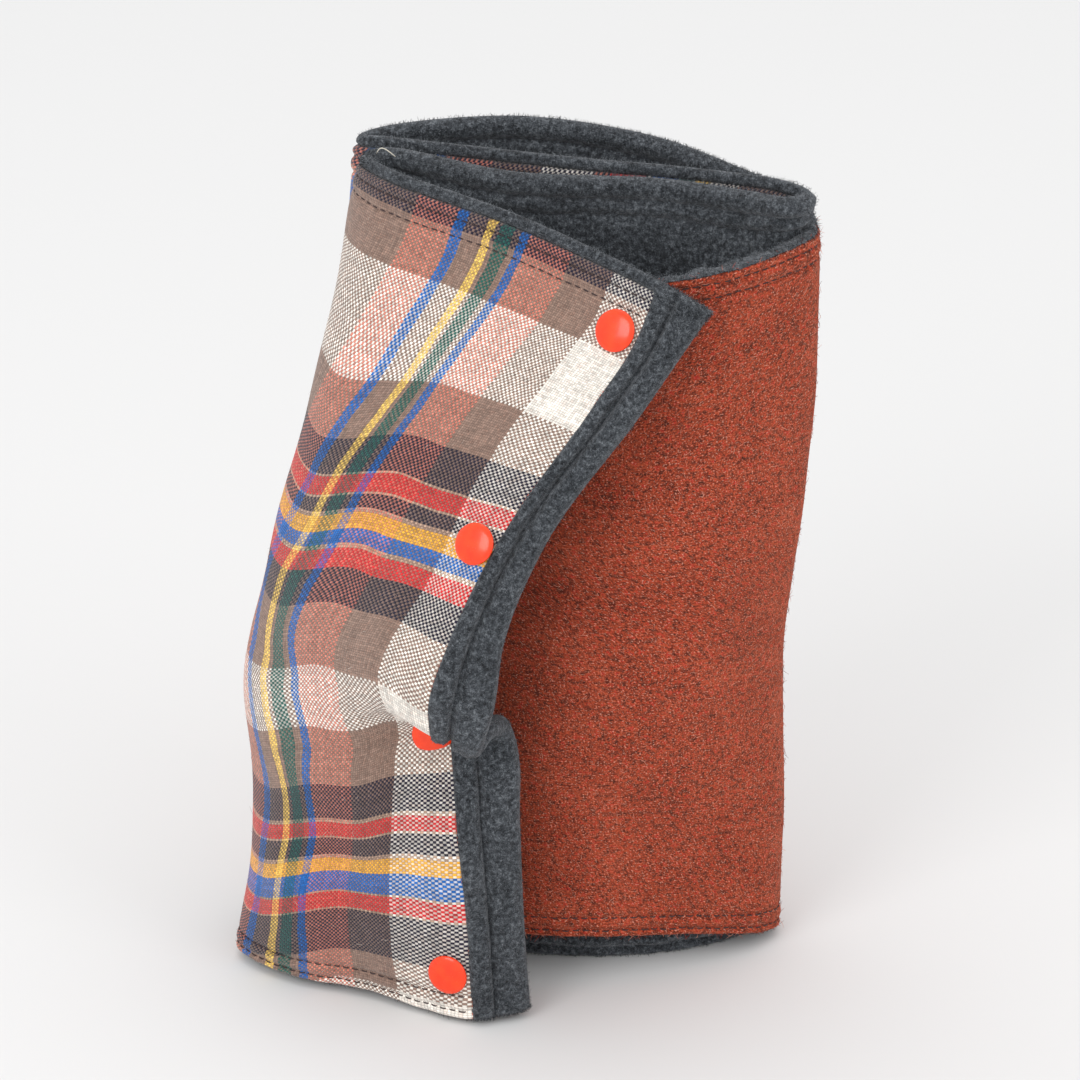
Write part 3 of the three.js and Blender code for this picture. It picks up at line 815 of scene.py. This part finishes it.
def plaid_material():
    """Woven wool: two sets of coloured yarns that wander a little, with slubs, flecks, a faint fuzz and
    painted shade in the gaps between the yarns.
    """
    shader = Shader("plaid_wool")

    def seen_over(below, above):
        return shader.times(below, shader.minus(1.0, above))

    def own_tone(x, y, low, high):
        return shader.range(shader.random(shader.vector(x, y)), 0, 1, low, high)

    along, across = shader.attribute("along"), shader.attribute("across")
    position = shader.vector(along, across)
    sway = shader.times(shader.minus(shader.noise(position, 0.09, 3), 0.5), 1.6)
    lift = shader.times(shader.minus(shader.noise(position, 0.075, 3), 0.5), 1.3)
    along, across = shader.plus(along, sway), shader.plus(across, lift)
    weft_on_top, height, warp_number, weft_number = weave(shader, along, across, WEAVE_PITCH)
    warp_stops, warp_length = stripes(WARP)
    lower_stops, lower_length = stripes(LOWER_BANDS)
    upper_stops, upper_length = stripes(UPPER_BANDS)
    yarn_along = shader.times(shader.plus(warp_number, 0.5), WEAVE_PITCH)
    yarn_across = shader.times(shader.plus(weft_number, 0.5), WEAVE_PITCH)
    warp, warp_bold = shader.ramp(
        shader.math("FRACT", shader.math("DIVIDE", yarn_along, warp_length)), warp_stops, with_alpha=True)
    above = shader.minus(yarn_across, lower_length)
    is_above = shader.math("GREATER_THAN", above, 0.0)
    lower_at = shader.math("DIVIDE", yarn_across, lower_length)
    upper_at = shader.math("DIVIDE", above, upper_length)
    lower, lower_bold = shader.ramp(lower_at, lower_stops, with_alpha=True)
    upper, upper_bold = shader.ramp(upper_at, upper_stops, with_alpha=True)
    weft = shader.mix(is_above, lower, upper)
    weft_bold = shader.node("ShaderNodeMix", is_above, None, lower_bold, upper_bold).outputs[0]
    colour = shader.mix(
        weft_on_top,
        shader.mix(seen_over(weft_bold, warp_bold), warp, weft),
        shader.mix(seen_over(warp_bold, weft_bold), weft, warp),
    )
    tone = shader.times(own_tone(warp_number, 0.0, 0.9, 1.08), own_tone(3.0, weft_number, 0.9, 1.08))
    stretched = shader.vector(shader.times(along, 0.25), shader.times(across, 1.6))
    slub = shader.range(shader.noise(stretched, 1.0, 3, 0.7), 0.3, 0.7, 0.86, 1.14)
    fleck = own_tone(warp_number, weft_number, 0.78, 1.18)
    # Painted shade: gap darkens the colour in the low gaps between the yarns and lightens the yarn tops a
    # little, from the weave's height; shade multiplies it with the yarns' own tone, slubs and flecks.
    gap = shader.range(height, 0.1, 0.8, 0.66, 1.03)
    shade = shader.times(shader.times(tone, slub), shader.times(gap, fleck))
    blush = shader.range(shader.random(shader.vector(weft_number, warp_number)), 0.6, 1, 0, 0.4)
    colour = shader.mix(blush, colour, shader.mix(1.0, colour, (1.0, 0.82, 0.76, 1), "MULTIPLY"))
    colour = shader.mix(1.0, colour, shader.grey(shade), "MULTIPLY")
    fibre = shader.noise(position, 5.0, 6, 0.7)
    shader.set(
        Base_Color=colour, Roughness=0.92, Sheen_Weight=0.25, Sheen_Roughness=0.6, Specular_IOR_Level=0.15,
        Normal=shader.bump(height, 0.0003, 0.6, shader.bump(fibre, 0.0003, 0.4)),
    )
    return shader.material


def rust_material():
    """Felted wool: short fibres of brown, rust, orange and pink lying every way over a hidden weave, with
    painted shade between the weave's yarns.
    """
    shader = Shader("rust_wool")
    along, across = shader.attribute("along"), shader.attribute("across")
    position = shader.vector(along, across)
    speck = shader.noise(position, 1.7, 3, 0.7)
    hue = shader.noise(shader.shifted(position, (31.0, 7.0, 0.0)), 0.5, 4, 0.7)
    light = shader.noise(shader.shifted(position, (3.0, 57.0, 0.0)), 1.7, 1, 0.5)
    patches = shader.noise(position, 0.055, 4, 0.6)
    heather = shader.plus(speck, shader.times(shader.minus(patches, 0.5), 0.22))
    warm = shader.ramp(hue, [
        (0.38, linear(94, 44, 34)), (0.47, linear(146, 58, 42)), (0.54, linear(180, 76, 46)),
        (0.63, linear(190, 54, 46)),
    ], "LINEAR")
    colour = shader.mix(shader.range(heather, 0.49, 0.37, 0, 0.85), warm, linear(50, 24, 22))
    colour = shader.mix(shader.range(heather, 0.53, 0.66, 0, 0.6), colour, linear(226, 120, 88))
    colour = shader.mix(shader.range(light, 0.61, 0.69, 0, 0.7), colour, linear(236, 172, 150))
    _, height, _, _ = weave(shader, along, across, FELT_PITCH)
    # Painted shade: the colour darkens where the hidden weave lies low and lightens a little where its yarns
    # stand high.
    shade = shader.range(height, 0, 1, 0.84, 1.04)
    colour = shader.mix(1.0, colour, shader.grey(shade), "MULTIPLY")
    lie = shader.plus(shader.plus(speck, hue), shader.times(height, 0.15))
    shader.set(
        Base_Color=colour, Roughness=0.95, Sheen_Weight=0.35, Sheen_Roughness=0.55, Specular_IOR_Level=0.1,
        Sheen_Tint=linear(230, 150, 120), Normal=shader.bump(lie, 0.0008, 0.7),
    )
    return shader.material


def fleece_material():
    """Short curly pile: painted light on the tips and painted shade in the gaps, of two sizes, with faint
    patches of the fleece's own uneven tone.
    """
    shader = Shader("fleece")
    position = shader.position()
    clumps = shader.noise(position, 700, 4, 0.65)
    pile = shader.noise(position, 2200, 3, 0.75)
    patches = shader.noise(position, 60, 3, 0.6)
    # Painted light and shade: tone is light where the clumps and pile stand high and dark in the gaps between
    # them, from the same noises as the bump; the faint patches are the fleece's own uneven tone.
    tone = shader.plus(shader.times(clumps, 0.55), shader.times(pile, 0.45))
    tone = shader.plus(tone, shader.times(shader.minus(patches, 0.5), 0.12))
    colour = shader.ramp(tone, [
        (0.36, linear(25, 26, 28)), (0.46, linear(52, 55, 59)), (0.54, linear(78, 82, 87)),
        (0.64, linear(122, 127, 132)),
    ], "LINEAR")
    height = shader.plus(shader.times(clumps, 0.8), shader.times(pile, 0.35))
    shader.set(
        Base_Color=colour, Roughness=1.0, Sheen_Weight=0.4, Sheen_Roughness=0.5,
        Sheen_Tint=linear(200, 202, 206), Specular_IOR_Level=0.05, Normal=shader.bump(height, 0.0011, 0.85),
    )
    return shader.material


def thread_material(name, colour):
    shader = Shader(name)
    position = shader.position()
    twist = shader.noise(position, 4200, 2)
    tone = shader.mix(twist, tuple(c * 0.6 for c in colour[:3]) + (1,), colour)
    shader.set(Base_Color=tone, Roughness=0.6, Normal=shader.bump(twist, 0.0001, 0.6))
    return shader.material


def hair_material(name, dark, middle, light):
    """Loose fibres, each in its own shade between dark and light."""
    shader = Shader(name)
    colour = shader.ramp(shader.attribute("shade"), [(0.0, dark), (0.55, middle), (1.0, light)], "LINEAR")
    shader.set(Base_Color=colour, Roughness=0.9, Specular_IOR_Level=0.1)
    return shader.material


def plastic_material():
    """Glossy moulded plastic with a faint ripple from the mould."""
    shader = Shader("snap_plastic")
    position = shader.position()
    swell = shader.noise(position, 260, 2)
    speck = shader.noise(position, 2500, 3)
    colour = shader.mix(shader.range(swell, 0.3, 0.7), linear(244, 54, 4), linear(255, 68, 10))
    roughness = shader.range(speck, 0.2, 0.8, 0.16, 0.3)
    shader.set(
        Base_Color=colour, Roughness=roughness, Specular_IOR_Level=0.45, Coat_Weight=0.25,
        Coat_Roughness=0.08, Normal=shader.bump(swell, 0.0004, 0.12),
    )
    return shader.material


def interlining_material():
    shader = Shader("interlining")
    position = shader.position()
    web = shader.noise(position, 1800, 5, 0.7)
    colour = shader.ramp(web, [(0.3, linear(196, 190, 176)), (0.7, linear(232, 228, 216))], "LINEAR")
    shader.set(Base_Color=colour, Roughness=0.9, Normal=shader.bump(web, 0.0003, 0.6))
    return shader.material


# ---- the pieces

# Around each hinge, its moving body and two planes. Only the zone names are read: cloth in these zones is
# baked in place instead of attached to a body.
BLENDS = {
    "flap": ("snap_flap", (-0.0905, -0.0193, 0.00235), (-0.0891, -0.0125, 0.00137)),
    "front": ("front_panel", (0.0640, -0.0100, 0), (0.0700, 0.0035, 0)),
}


def add(piece, zone, material, slot, *replaced):
    """Give a cloth piece its material; attach it to the folded body, or bake it in place if its zone is a
    hinge zone; and hide the CAD nodes it stands in for.
    """
    piece.data.materials.append(material)
    if zone in BLENDS:
        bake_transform(piece)
    else:
        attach(piece, "folded_body")
    if replaced:
        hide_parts(*replaced)
    return piece


def wool_panel(name, start, end, zone, material, slot, *replaced, coordinates=None):
    panel = shell(name, wool_strip, start, end, wool_face, wool_back, coordinates)
    return add(panel, zone, material, slot, *replaced)


def lining_panel(zone, start, end, *replaced):
    panel = shell(f"fleece_lining_{zone}", fleece_strip, start, end, fleece_face, fleece_pile)
    return add(panel, zone, fleece, "fleece", *replaced)


plaid, rust, fleece = plaid_material(), rust_material(), fleece_material()
plastic, interlining = plastic_material(), interlining_material()
thread = thread_material("topstitch_thread", linear(66, 48, 48))

wool_face, wool_back = wool_outer(wool_strip), wool_inner(wool_strip)
fleece_face, fleece_pile = fleece_outer(fleece_strip), fleece_inner(fleece_strip)

plaid_panel = wool_panel(
    "plaid_panel", WOOL_END, WOOL_SEAM, "flap", plaid, "plaid_wool",
    "plaid_flap", "plaid_fold", "plaid_pleat", coordinates=plaid_coordinates(wool_strip))
rust_panel_back = wool_panel(
    "rust_panel_back", WOOL_SEAM, BACK_SPLIT, "back", rust, "rust_wool", "rust_back")
rust_panel_front = wool_panel(
    "rust_panel_front", BACK_SPLIT, FRONT_WOOL_END, "front", rust, "rust_wool",
    "rust_side_fold", "rust_front")
linings = {
    "flap": lining_panel("flap", 0, FLEECE_SPLIT, "lining_flap", "lining_inner", "end_border_flap"),
    "back": lining_panel("back", FLEECE_SPLIT, BACK_SPLIT, "lining_pleat", "lining_back"),
    "front": lining_panel(
        "front", BACK_SPLIT, STRIP_END, "lining_side_fold", "lining_front", "end_border_front"),
}

for zone, slot, start, end in (
    ("flap", "plaid_wool", WOOL_END, FLAP_STITCH_END), ("back", "rust_wool", WOOL_SEAM, BACK_SPLIT),
    ("front", "rust_wool", BACK_SPLIT, FRONT_WOOL_END),
):
    add(stitching(f"topstitching_{zone}", wool_strip, start, end, wool_face), zone, thread, slot)


def at_hem(along, across):
    return (across > WOOL_TOP - 1.2) | (across < 2.0)


def on_flap_border(along, across):
    return along < 0.8


def on_flap(along, across):
    return along < 120


def everywhere(along, across):
    return across > -1


fleece_hair = hair_material("fleece_fibre", linear(34, 36, 39), linear(78, 82, 87), linear(142, 147, 152))
rust_hair = hair_material("rust_fibre", linear(62, 28, 26), linear(190, 72, 50), linear(242, 176, 152))
plaid_hair = hair_material("plaid_fibre", linear(96, 78, 70), linear(190, 165, 150), linear(246, 236, 226))
for zone, panel in linings.items():
    hem_pile = fibres(f"fleece_hem_pile_{zone}", panel, at_hem, 8000, 1.35, 0.4, 0.07, seed=3)
    add(hem_pile, zone, fleece_hair, "fleece")
for name, panel, chosen, zone, hair, slot, count, length, lean, radius, seed in (
    ("fleece_border_pile", linings["flap"], on_flap_border, "flap", fleece_hair, "fleece",
     14000, 1.1, 0.6, 0.065, 4),
    ("rust_front_stray_fibres", rust_panel_front, everywhere, "front", rust_hair, "rust_wool",
     12000, 2.4, 0.95, 0.075, 5),
    ("rust_back_stray_fibres", rust_panel_back, everywhere, "back", rust_hair, "rust_wool",
     4500, 2.4, 0.95, 0.075, 6),
    ("plaid_stray_fibres", plaid_panel, on_flap, "flap", plaid_hair, "plaid_wool",
     1400, 2.0, 0.9, 0.045, 7),
):
    add(fibres(name, panel, chosen, count, length, lean, radius, seed), zone, hair, slot)

pale_thread = thread_material("loose_thread", linear(236, 230, 214))
add(stray_thread(), "flap", pale_thread, "plaid_wool")

web_half = np.full(wool_strip.run.shape, 0.1)
for zone, start, end in (
    ("flap", WOOL_END, WOOL_END + 0.8), ("front", FRONT_WOOL_END - 0.4, FRONT_WOOL_END),
):
    web = shell(f"snap_stay_web_{zone}", wool_strip, start, end, web_half, -web_half)
    add(web, zone, interlining, "interlining", f"snap_stay_{zone}")

for number, height in enumerate(SNAP_HEIGHTS, 1):
    front, back = snap_place(SNAP_ALONG, height), snap_place(STUD_ALONG, height, turned=True)
    for name, outline, place, body in (
        (f"snap_cap_{number}", cap_outline(WOOL_OUTER), front, "snap_flap"),
        (f"snap_socket_{number}", socket_outline(FLEECE_SEAT), front, "snap_flap"),
        (f"snap_back_cap_{number}", cap_outline(FLEECE_SEAT), back, "front_panel"),
        (f"snap_stud_{number}", stud_outline(WOOL_OUTER), back, "front_panel"),
    ):
        piece = lathe("moulded_" + name, outline, place)
        piece.data.materials.append(plastic)
        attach(piece, body)
        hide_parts(name)


# ---- floor, light and camera

def add_floor():
    size, grey = 12.0, 0.775
    corners = [(-size, -size, 0), (size, -size, 0), (size, size, 0), (-size, size, 0)]
    mesh = bpy.data.meshes.new("floor")
    mesh.from_pydata(corners, [], [(0, 1, 2, 3)])
    floor = linked("floor", mesh)
    shader = Shader("floor_paper")
    shader.set(Base_Color=(grey, grey, grey, 1), Roughness=0.9, Specular_IOR_Level=0.1)
    mesh.materials.append(shader.material)


def add_light(name, place, size, power):
    light = bpy.data.lights.new(name, "AREA")
    light.shape = "RECTANGLE"
    light.size, light.size_y = size
    light.energy = power
    lamp = linked(name, light)
    lamp.location = place
    lamp.rotation_euler = (Vector(LIT_POINT) - Vector(place)).to_track_quat("-Z", "Y").to_euler()


def add_camera():
    elevation, distance = math.radians(25), 1.6
    target = Vector((0, 0, 0.118))
    camera = bpy.data.cameras.new("camera")
    camera.sensor_width = 36
    camera.lens = 177.8
    camera.shift_y = 0.0458
    camera.clip_end = 50
    view = linked("camera", camera)
    view.location = target + distance * Vector((0, -math.cos(elevation), math.sin(elevation)))
    view.rotation_euler = (math.pi / 2 - elevation, 0, 0)
    bpy.context.scene.camera = view


WORLD_STRENGTH = 0.99
LIT_POINT = (0, 0, 0.1)
world = bpy.data.worlds.new("studio")
world.use_nodes = True
world.node_tree.nodes["Background"].inputs[0].default_value = (1, 1, 1, 1)
world.node_tree.nodes["Background"].inputs[1].default_value = WORLD_STRENGTH
bpy.context.scene.world = world
bpy.context.scene.view_settings.view_transform = "Standard"

add_floor()
add_light("key", (-1.0, -1.4, 1.2), (0.9, 0.9), 10)
add_light("fill", (1.3, -1.1, 1.1), (0.8, 1.0), 4)
add_light("top", (0.0, 0.3, 1.8), (1.4, 1.0), 3)
add_camera()
